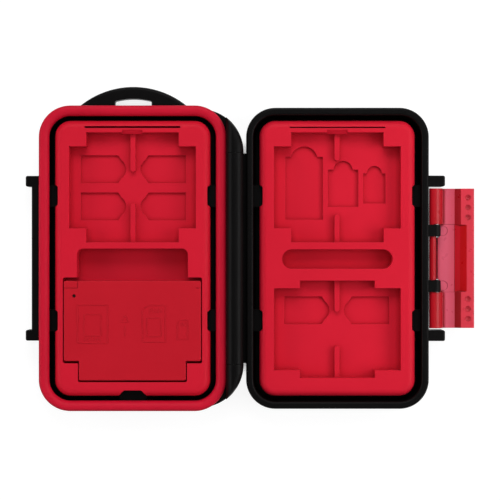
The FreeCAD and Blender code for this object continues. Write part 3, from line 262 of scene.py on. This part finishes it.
def tinted_clear(name, paint, tint, density, rough, clear):
    """Dyed see-through plastic: a body colour painted by place, which on the latch holds painted light and
    shade, painted shade in creases, and depth tint and flow lines from the mould."""
    material, tree, place = new_finish(name)
    flow = noise(tree, stretched(tree, place, scale=(140, 30, 140)), scale=1, detail=2, distortion=0.6)
    fine = noise(tree, place, scale=2600, detail=2)
    gloss = ranged(tree, noise(tree, place, scale=300, detail=3), 0.3, 0.7, rough - 0.03, rough + 0.04)
    height = maths(tree, "ADD", maths(tree, "MULTIPLY", flow, 2.0), fine)
    rounded = rounded_normal(tree, CLEAR_EDGE_RADIUS)
    body = mixed(tree, ranged(tree, flow, 0.35, 0.65, 0.0, 0.1), paint(tree, place), tint)
    # Painted shade: the colour darkens where the surface lies enclosed
    painted_shade_share = ranged(tree, openness(tree, CLEAR_PAINTED_SHADE_REACH), 0.9, 0.7, 0.0, 0.85)
    depth = add_node(tree, "ShaderNodeVolumeAbsorption", {"Color": tint, "Density": density})
    surface(tree, {
        "Base Color": mixed(tree, painted_shade_share, body, CLEAR_PAINTED_SHADE), "Roughness": gloss, "IOR": 1.49,
        "Specular IOR Level": 0.2, "Transmission Weight": clear,
        "Normal": bumped(tree, height, strength=0.3, relief=CLEAR_RELIEF, normal=rounded)},
        volume=depth.outputs["Volume"])
    return material


def smoky_paint(tree, place):
    return mixed(tree, noise(tree, place, scale=900), SMOKE_DARK, SMOKE_LIGHT)


def risen(tree, value, start, width):
    """Nought up to a place, rising to one over a width beyond it."""
    return ranged(tree, value, start * MM, (start + width) * MM, 0.0, 1.0)


def latch_painted_light_and_shade(tree, place):
    """Painted light and shade on the latch: pale painted light on its thin plate, a bright red on its pull
    edge, deep painted shade on its crown, its slopes and its hollow.
    """
    axes = add_node(tree, "ShaderNodeSeparateXYZ", {"Vector": place}).outputs
    out = axes["X"]
    aside = maths(tree, "ABSOLUTE", axes["Y"], 0.0)
    middle = ranged(tree, aside, LATCH_MIDDLE_OUT * MM, LATCH_MIDDLE_IN * MM, 0.0, 1.0)
    start_shift = maths(tree, "MULTIPLY", middle, PLATE_START_SHIFT * MM)
    from_crown = maths(tree, "SUBTRACT", out, maths(tree, "SUBTRACT", PLATE_START * MM, start_shift))
    past_plate = risen(tree, out, PLATE_END - ZONE_SOFT / 2, ZONE_SOFT)
    plate = maths(
        tree, "MULTIPLY", ranged(tree, from_crown, 0.0, PLATE_FADE * MM, 0.3, 1.0),
        ranged(tree, out, PLATE_PALE_END * MM, PLATE_END * MM, 1.0, 0.6))
    plate = maths(tree, "MULTIPLY", plate, risen(tree, from_crown, -ZONE_SOFT, ZONE_SOFT))
    plate = maths(tree, "MULTIPLY", plate, maths(tree, "SUBTRACT", 1.0, past_plate))
    slope = maths(tree, "MULTIPLY", past_plate, maths(tree, "SUBTRACT", 1.0, middle))
    hollow = maths(tree, "MULTIPLY", risen(tree, out, HOLLOW_START, ZONE_SOFT), middle)
    edge_shift = maths(tree, "MULTIPLY", middle, PULL_EDGE_SHIFT * MM)
    edge_start = maths(tree, "ADD", PULL_EDGE_START * MM, edge_shift)
    pull_edge = risen(tree, maths(tree, "SUBTRACT", out, edge_start), 0.0, PULL_EDGE_SOFT)
    body = mixed(tree, plate, CROWN_PAINTED_SHADE, PLATE_PAINTED_LIGHT)
    body = mixed(tree, slope, body, SLOPE_PAINTED_SHADE)
    body = mixed(tree, hollow, body, HOLLOW_PAINTED_SHADE)
    return mixed(tree, pull_edge, body, PULL_EDGE_RED)


# Metal and the circuit board

METAL_EDGE_RADIUS = 0.08
METAL_RELIEF = 0.004
BOARD_RELIEF = 0.01
MASK_GREEN = colour(0.006, 0.05, 0.016)
COPPER_GREEN = colour(0.03, 0.13, 0.05)


def drawn_metal(name, base, tarnish, rough, along):
    """Rolled sheet or wire: fine drawing lines one way, faint tarnish, brighter rubbed edges."""
    material, tree, place = new_finish(name)
    rounded = rounded_normal(tree, METAL_EDGE_RADIUS)
    lines = noise(tree, stretched(tree, place, scale=along), scale=1, detail=3)
    stain = ranged(tree, noise(tree, place, scale=420, detail=4), 0.45, 0.75, 0.0, 0.7)
    body = mixed(tree, stain, base, tarnish)
    body = mixed(tree, maths(tree, "MULTIPLY", edge_share(tree, rounded), 0.5), body, base)
    surface(tree, {
        "Base Color": body, "Metallic": 1.0,
        "Roughness": ranged(tree, lines, 0.3, 0.7, rough - 0.06, rough + 0.1),
        "Normal": bumped(tree, lines, strength=0.3, relief=METAL_RELIEF, normal=rounded)})
    return material


def weave_band(tree, place, direction):
    return add_node(tree, "ShaderNodeTexWave", {
        "Vector": place, "Scale": 900.0}, bands_direction=direction).outputs["Fac"]


def circuit_board(name):
    """Solder mask over woven glass: weave ripple, and copper runs showing as a paler green."""
    material, tree, place = new_finish(name)
    weave = maths(tree, "ADD", weave_band(tree, place, "X"), weave_band(tree, place, "Y"))
    runs = add_node(tree, "ShaderNodeTexBrick", {
        "Vector": place, "Scale": 420.0, "Mortar Size": 0.04,
        "Color1": PURE_BLACK, "Color2": PURE_BLACK, "Mortar": PURE_WHITE}).outputs["Color"]
    patchy = ranged(tree, noise(tree, place, scale=130, detail=2), 0.45, 0.55, 0.0, 1.0)
    copper = maths(tree, "MULTIPLY", runs, patchy)
    height = maths(tree, "ADD", weave, copper)
    surface(tree, {
        "Base Color": mixed(tree, copper, MASK_GREEN, COPPER_GREEN),
        "Roughness": ranged(tree, noise(tree, place, scale=600, detail=2), 0.3, 0.7, 0.28, 0.42),
        "Normal": bumped(tree, height, strength=0.4, relief=BOARD_RELIEF)})
    return material


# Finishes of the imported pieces

BASE_MARKS = ((-26.5, 50.1), (26.5, 50.1))
LID_MARKS = ((57.7, 50.1), (110.7, 50.1), (57.7, -50.1), (110.7, -50.1))


# The red trays, with painted shade in their creases and pockets
def tray_plastic(name, marks):
    return moulded_plastic(
        name, base=colour(0.62, 0.009, 0.028), patch=colour(0.59, 0.008, 0.026),
        edge=colour(0.68, 0.01, 0.035), rough=0.5, shine=0.1, grain=5200, relief=0.005,
        painted_crease_shade=0.36, marks=marks)


BLACK = moulded_plastic(
    "case_black", base=colour(0.0024, 0.0021, 0.0022), patch=colour(0.003, 0.0027, 0.0028),
    edge=colour(0.009, 0.0085, 0.0085), rough=0.4, shine=0.07, grain=3600, relief=0.008)
TRAY_BASE = tray_plastic("tray_red_base", BASE_MARKS)
TRAY_LID = tray_plastic("tray_red_lid", LID_MARKS)
SEAL = moulded_plastic(
    "seal_rubber_red", base=colour(0.58, 0.006, 0.028), patch=colour(0.54, 0.005, 0.025),
    edge=colour(0.62, 0.02, 0.045), rough=0.5, shine=0.12, grain=2600, relief=0.008, edge_radius=0.4)
# The reader, with painted shade in its creases
READER = moulded_plastic(
    "reader_red", base=colour(0.52, 0.006, 0.018), patch=colour(0.49, 0.005, 0.016),
    edge=colour(0.62, 0.03, 0.05), rough=0.5, shine=0.14, grain=4400, relief=0.008, wear=0.3, painted_crease_shade=0.4)
# The latch, its colour painted with light and shade zone by zone
LATCH = tinted_clear(
    "latch_clear_red", latch_painted_light_and_shade, tint=colour(0.92, 0.006, 0.04), density=260.0, rough=0.3, clear=0.07)
STEEL = drawn_metal(
    "steel_drawn", base=colour(0.56, 0.56, 0.55), tarnish=colour(0.4, 0.39, 0.37), rough=0.3,
    along=(120, 4200, 4200))
GOLD = drawn_metal(
    "contact_gold", base=colour(0.83, 0.6, 0.22), tarnish=colour(0.6, 0.42, 0.16), rough=0.25,
    along=(300, 5200, 5200))
BOARD = circuit_board("board_green")
SOCKET = moulded_plastic(
    "socket_black", base=colour(0.012, 0.012, 0.013), patch=colour(0.016, 0.016, 0.017),
    edge=colour(0.05, 0.05, 0.05), rough=0.42, shine=0.4, grain=6000, relief=0.008, edge_radius=0.1)
CERAMIC = moulded_plastic(
    "capacitor_tan", base=colour(0.33, 0.22, 0.12), patch=colour(0.27, 0.18, 0.1),
    edge=colour(0.5, 0.5, 0.48), rough=0.4, shine=0.5, grain=9000, relief=0.004, edge_radius=0.08)
SMOKY = tinted_clear(
    "light_pipe_smoky", smoky_paint, tint=colour(0.2, 0.05, 0.05), density=400.0, rough=0.4, clear=0.1)

FINISHES = {
    "black_plastic": BLACK, "seal_rubber": SEAL, "tray_plastic": TRAY_BASE, "latch_plastic": LATCH,
    "reader_plastic": READER, "steel": STEEL, "circuit_board": BOARD, "socket_plastic": SOCKET,
    "contact_metal": GOLD, "capacitor_ceramic": CERAMIC, "clear_plastic": SMOKY}
OWN_FINISH = {"lid_tray": TRAY_LID}

for entry in frame["record"]["subparts"]:
    finish = OWN_FINISH.get(entry["node"], FINISHES[entry["material_slot"]])
    for material_slot in nodes[entry["node"]].material_slots:
        material_slot.material = finish


# Card signs on the reader's top face: plain card outlines, standing out of it as fine lines

SIGN_LINE = 0.4
SIGN_PROUD = 0.18
SIGN_SUNK = 0.15
SIGN_ROUND = 0.06

# Heights in metres
READER_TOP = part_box("reader_top_cover")[1].z
SIGN_FACE = READER_TOP + SIGN_PROUD * MM

LARGE_SIGN_X = -16.3
MIDDLE_SIGN_X = 8.9
SIGN_PARTS = []


def choose_only(piece):
    bpy.ops.object.select_all(action="DESELECT")
    piece.select_set(True)
    bpy.context.view_layer.objects.active = piece


def flat_card(x, y, width, height):
    """A flat rectangle around a place, at the height of the signs' upper side."""
    bpy.ops.object.select_all(action="DESELECT")
    bpy.ops.mesh.primitive_plane_add(size=1, location=(x * MM, y * MM, SIGN_FACE))
    piece = bpy.context.object
    piece.scale = (width * MM, height * MM, 1)
    bpy.ops.object.transform_apply(location=True, rotation=True, scale=True)
    return piece


def cut_corner(piece, corner):
    """Cuts the upper left corner of a flat card."""
    low = min(point.co.x for point in piece.data.vertices)
    high = max(point.co.y for point in piece.data.vertices)
    choose_only(piece)
    bpy.ops.object.mode_set(mode="EDIT")
    bpy.ops.mesh.select_mode(type="VERT")
    bpy.ops.mesh.select_all(action="DESELECT")
    bpy.ops.object.mode_set(mode="OBJECT")
    for point in piece.data.vertices:
        point.select = point.co.x == low and point.co.y == high
    bpy.ops.object.mode_set(mode="EDIT")
    bpy.ops.mesh.bevel(offset=corner * MM, affect="VERTICES", segments=1)
    bpy.ops.object.mode_set(mode="OBJECT")


def open_outline(piece):
    """Leaves only a line's width around the edge of a flat card."""
    choose_only(piece)
    bpy.ops.object.mode_set(mode="EDIT")
    bpy.ops.mesh.select_mode(type="FACE")
    bpy.ops.mesh.select_all(action="SELECT")
    bpy.ops.mesh.inset(thickness=SIGN_LINE * MM)
    bpy.ops.mesh.delete(type="FACE")
    bpy.ops.object.mode_set(mode="OBJECT")


def thicken(piece):
    """Gives a flat sign its height down into the cover, with rounded edges."""
    choose_only(piece)
    solid = piece.modifiers.new("height", "SOLIDIFY")
    solid.thickness = (SIGN_PROUD + SIGN_SUNK) * MM
    solid.offset = -1.0
    edge = piece.modifiers.new("edge", "BEVEL")
    edge.width = SIGN_ROUND * MM
    edge.segments = 2
    edge.limit_method = "ANGLE"
    for modifier in ("height", "edge"):
        bpy.ops.object.modifier_apply(modifier=modifier)
    SIGN_PARTS.append(piece)


def card_outline(x, y, width, height, corner=0.0):
    card = flat_card(x, y, width, height)
    if corner:
        cut_corner(card, corner)
    open_outline(card)
    thicken(card)


def contact_strokes(x, y, count, pitch, length):
    """Short bars side by side, for a card's contacts: one is modelled and the others are its copies."""
    first = flat_card(x - (count - 1) * pitch / 2, y, SIGN_LINE, length)
    row = first.modifiers.new("row", "ARRAY")
    row.count = count
    row.use_relative_offset = False
    row.use_constant_offset = True
    row.constant_offset_displace = (pitch * MM, 0, 0)
    choose_only(first)
    bpy.ops.object.modifier_apply(modifier="row")
    thicken(first)


def insert_arrow(x, y, height):
    """A plain stem with a triangular head that points to the finger end."""
    bpy.ops.object.select_all(action="DESELECT")
    bpy.ops.mesh.primitive_circle_add(
        vertices=3, radius=height / 4 * MM, fill_type="NGON",
        location=(x * MM, (y + height / 4) * MM, SIGN_FACE))
    head = bpy.context.object
    bpy.ops.object.transform_apply(location=True, rotation=True, scale=True)
    open_outline(head)
    thicken(head)
    thicken(flat_card(x, y - height / 4, SIGN_LINE, height / 2))


card_outline(x=LARGE_SIGN_X, y=-27.0, width=12.8, height=16.0)
card_outline(x=LARGE_SIGN_X, y=-27.4, width=7.4, height=9.2)
contact_strokes(x=LARGE_SIGN_X, y=-33.2, count=6, pitch=1.3, length=1.6)
insert_arrow(x=-3.0, y=-27.4, height=9.0)
card_outline(x=MIDDLE_SIGN_X, y=-26.8, width=9.8, height=15.4, corner=2.2)
card_outline(x=MIDDLE_SIGN_X, y=-28.2, width=6.2, height=8.0)
contact_strokes(x=9.6, y=-21.4, count=5, pitch=1.15, length=1.8)
card_outline(x=20.6, y=-29.2, width=4.6, height=8.4, corner=1.4)
contact_strokes(x=20.9, y=-27.2, count=3, pitch=0.95, length=1.4)

bpy.ops.object.select_all(action="DESELECT")
for part in SIGN_PARTS:
    part.select_set(True)
bpy.context.view_layer.objects.active = SIGN_PARTS[0]
bpy.ops.object.join()
signs = bpy.context.object
signs.name = "reader_card_signs"
signs.data.name = "reader_card_signs"
signs.data.materials.clear()
signs.data.materials.append(READER)
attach(signs, "reader")


# Floor, light and camera

FLOOR_DROP = 0.2
FLOOR_SHADE_REACH = 20

# Shares of open sky over the floor for its painted shadow: it is dark up to the first and fully white from the
# second
FLOOR_COVERED = 0.07
FLOOR_OPEN = 0.13

# Upward parts of the viewing direction: the backdrop is white up to the first and dark from the second
BACKDROP_WHITE_UP_TO = 0.15
BACKDROP_DARK_FROM = 0.5

# Places in metres; the floor, the lamps and the camera are placed and sized in metres too
CASE_MIDDLE = Vector((0.0483, 0.0, 0.014))
CASE_AIM = (0.05, 0.0, 0.014)
LID_AIM = (0.084, 0.0, 0.014)
ABOVE_AIM = (0.09, 0.0, 0.014)


def seen_share(tree):
    """One for rays from the camera, shiny faces and clear plastic, nought for scattered light."""
    path = add_node(tree, "ShaderNodeLightPath").outputs
    seen = maths(tree, "MAXIMUM", path["Is Camera Ray"], path["Is Glossy Ray"])
    return maths(tree, "MAXIMUM", seen, path["Is Transmission Ray"])


def white_floor(size, glow, grey):
    """A grey floor whose white glow is only seen or mirrored; close under the case the glow is missing, as a
    painted shadow.
    """
    bpy.ops.object.select_all(action="DESELECT")
    bpy.ops.mesh.primitive_plane_add(size=size, location=(CASE_MIDDLE.x, 0.0, -FLOOR_DROP * MM))
    floor = bpy.context.object
    floor.name = "floor"
    material = bpy.data.materials.new("floor_white")
    tree = empty_tree(material)
    shade = add_node(tree, "ShaderNodeBsdfDiffuse", {"Color": colour(grey, grey, grey)})
    sky = add_node(
        tree, "ShaderNodeAmbientOcclusion", {"Distance": FLOOR_SHADE_REACH * MM}, samples=SHADE_SAMPLES)
    # Painted shadow: the glow fades out where the floor lies covered by the case
    open_floor = ranged(tree, sky.outputs["AO"], FLOOR_COVERED, FLOOR_OPEN, 0.0, glow)
    light = add_node(tree, "ShaderNodeEmission", {
        "Color": PURE_WHITE, "Strength": maths(tree, "MULTIPLY", seen_share(tree), open_floor)})
    both = add_node(tree, "ShaderNodeAddShader", {0: shade.outputs["BSDF"], 1: light.outputs["Emission"]})
    add_node(tree, "ShaderNodeOutputMaterial", {"Surface": both.outputs["Shader"]})
    floor.data.materials.append(material)


def studio_world(light):
    """Even light on the object, and a white backdrop that darkens overhead where it is seen or mirrored."""
    world = bpy.data.worlds.new("studio")
    bpy.context.scene.world = world
    tree = empty_tree(world)
    aim = add_node(tree, "ShaderNodeTexCoord").outputs["Generated"]
    up = add_node(tree, "ShaderNodeSeparateXYZ", {"Vector": aim}).outputs["Z"]
    backdrop = ranged(tree, up, BACKDROP_WHITE_UP_TO, BACKDROP_DARK_FROM, 1.0, light)
    even = add_node(tree, "ShaderNodeBackground", {"Color": PURE_WHITE, "Strength": light})
    seen = add_node(tree, "ShaderNodeBackground", {"Color": PURE_WHITE, "Strength": backdrop})
    both = add_node(tree, "ShaderNodeMixShader", {
        0: seen_share(tree), 1: even.outputs["Background"], 2: seen.outputs["Background"]})
    add_node(tree, "ShaderNodeOutputWorld", {"Surface": both.outputs["Shader"]})


def soft_box(name, place, target, width, height, level):
    """A soft lamp aimed at a place; its level is about how white it makes a flat white sheet there."""
    away = Vector(place) - Vector(target)
    distance = away.length
    lamp = bpy.data.lights.new(name, "AREA")
    lamp.shape = "RECTANGLE"
    lamp.size = width
    lamp.size_y = height
    lamp.energy = level * math.pi * (math.pi * distance ** 2 + width * height) * distance / away.z
    holder = bpy.data.objects.new(name, lamp)
    holder.location = place
    holder.rotation_euler = away.to_track_quat("Z", "Y").to_euler()
    holder.visible_camera = False
    bpy.context.scene.collection.objects.link(holder)


def photo_camera(across, distance, y):
    """Straight above the open case, framed as in the photograph."""
    lens = bpy.data.cameras.new("photo_camera")
    lens.sensor_fit = "HORIZONTAL"
    lens.angle = 2 * math.atan(across / 2 / distance)
    lens.clip_start = 0.01
    holder = bpy.data.objects.new("photo_camera", lens)
    holder.location = (CASE_MIDDLE.x, y, CASE_MIDDLE.z + distance)
    bpy.context.scene.collection.objects.link(holder)
    bpy.context.scene.camera = holder


white_floor(size=6.0, glow=0.88, grey=0.2)
studio_world(light=0.22)
soft_box("box_above", (0.28, 0.0, 1.2), ABOVE_AIM, width=0.4, height=0.5, level=0.03)
soft_box("panel_back", (0.05, 0.6, 0.7), CASE_AIM, width=0.6, height=0.4, level=0.33)
soft_box("panel_front", (0.05, -0.6, 0.6), CASE_AIM, width=0.6, height=0.4, level=0.04)
soft_box("panel_right", (0.6, 0.0, 0.5), CASE_AIM, width=0.4, height=0.4, level=0.12)
soft_box("panel_left", (-0.5, 0.0, 0.3), CASE_AIM, width=0.5, height=0.22, level=0.12)
soft_box("strip_right", (0.305, 0.0, 0.18), LID_AIM, width=0.4, height=0.12, level=0.24)
photo_camera(across=0.2053, distance=0.7, y=0.00341)
bpy.context.scene.view_settings.view_transform = "Standard"
